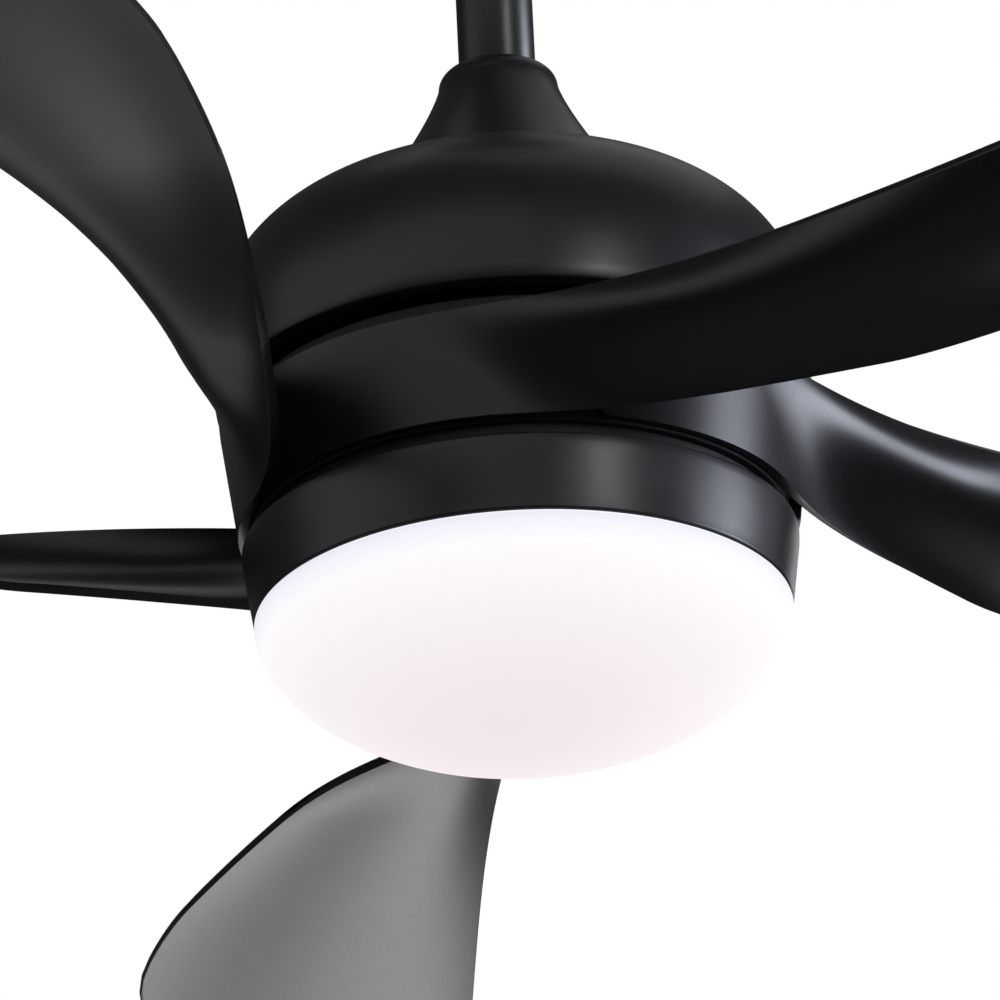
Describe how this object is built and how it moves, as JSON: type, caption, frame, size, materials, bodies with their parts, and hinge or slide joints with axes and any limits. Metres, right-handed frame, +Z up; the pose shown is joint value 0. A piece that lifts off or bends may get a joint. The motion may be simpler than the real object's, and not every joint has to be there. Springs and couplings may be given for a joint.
{
  "type": "ceiling fan with light",
  "caption": "Ceiling fan on a short downrod, with swept blades that wrap a round motor body and a domed light under it.",
  "frame": {"origin": "centre of the two ceiling box slots, on the ceiling plane, which is the top face of the bracket's plate", "axes": "+Z straight up into the ceiling along the fan's axis; +X along the line of the two ceiling slots; everything hangs below z = 0"},
  "size_m": [1.0572, 1.0546, 0.5023],
  "materials": {
    "black_paint": "satin",
    "blade_plastic": "fine satin grain",
    "dark_plastic": "matte",
    "zinc_steel": "zinc plated",
    "steel": "plain",
    "cast_aluminium": "cast",
    "copper_wire": "enamelled",
    "magnet": "plain",
    "wire_sleeve": "soft",
    "white_plastic": "matte",
    "white_plate": "reflective white",
    "led_phosphor": "gel",
    "opal_acrylic": "opal, satin outside"
  },
  "bodies": {
    "ceiling_mount": {"ceiling_plate": "zinc_steel", "hanger_bracket": "zinc_steel", "canopy_screws": "steel", "receiver": "dark_plastic"},
    "canopy": {"canopy": "black_paint"},
    "hanger": {"hanger_ball": "dark_plastic", "ball_pin": "steel", "ball_set_screw": "steel", "downrod": "black_paint", "motor_leads": "wire_sleeve", "lead_connector": "white_plastic", "coupling": "steel", "coupling_pin": "zinc_steel", "pin_clip": "steel", "coupling_set_screws": "steel", "mounting_collar": "steel", "dome_housing": "black_paint", "dome_screws": "steel", "motor_shaft": "steel", "stator_core": "steel", "stator_windings": "copper_wire", "shaft_collar": "steel", "light_pan": "white_plate", "shaft_washer": "zinc_steel", "shaft_nut": "zinc_steel", "light_ring": "black_paint", "ring_screws": "steel", "led_board": "white_plate", "led_chips": "led_phosphor", "led_driver": "white_plastic", "driver_screws": "steel", "lens_catches": "zinc_steel"},
    "cover": {"coupling_cover": "black_paint"},
    "rotor": {"upper_bearing": "zinc_steel", "lower_bearing": "zinc_steel", "magnet_ring": "magnet", "rotor_top": "cast_aluminium", "rotor_bottom": "cast_aluminium", "bell_screws": "steel", "blade_hub": "dark_plastic", "hub_screws": "steel", "blade_1": "blade_plastic", "blade_2": "blade_plastic", "blade_3": "blade_plastic", "blade_4": "blade_plastic", "blade_5": "blade_plastic", "blade_screws": "steel"},
    "lens": {"lens": "opal_acrylic"}
  },
  "joints": [
    {"name": "ball_tilt", "type": "hinge", "parent": "ceiling_mount", "child": "hanger", "pos_m": [0, 0, -0.055], "axis": [1, 0, 0], "range_deg": [-15, 0]},
    {"name": "canopy_drop", "type": "slide", "parent": "ceiling_mount", "child": "canopy", "axis": [0, 0, -1], "range_m": [0, 0.1]},
    {"name": "cover_lift", "type": "slide", "parent": "hanger", "child": "cover", "axis": [0, 0, 1], "range_m": [0, 0.06]},
    {"name": "rotor_spin", "type": "hinge", "parent": "hanger", "child": "rotor", "pos_m": [0, 0, -0.4], "axis": [0, 0, 1], "continuous": true},
    {"name": "lens_twist", "type": "hinge", "parent": "hanger", "child": "lens", "pos_m": [0, 0, -0.455], "axis": [0, 0, 1], "range_deg": [0, 20]}
  ]
}
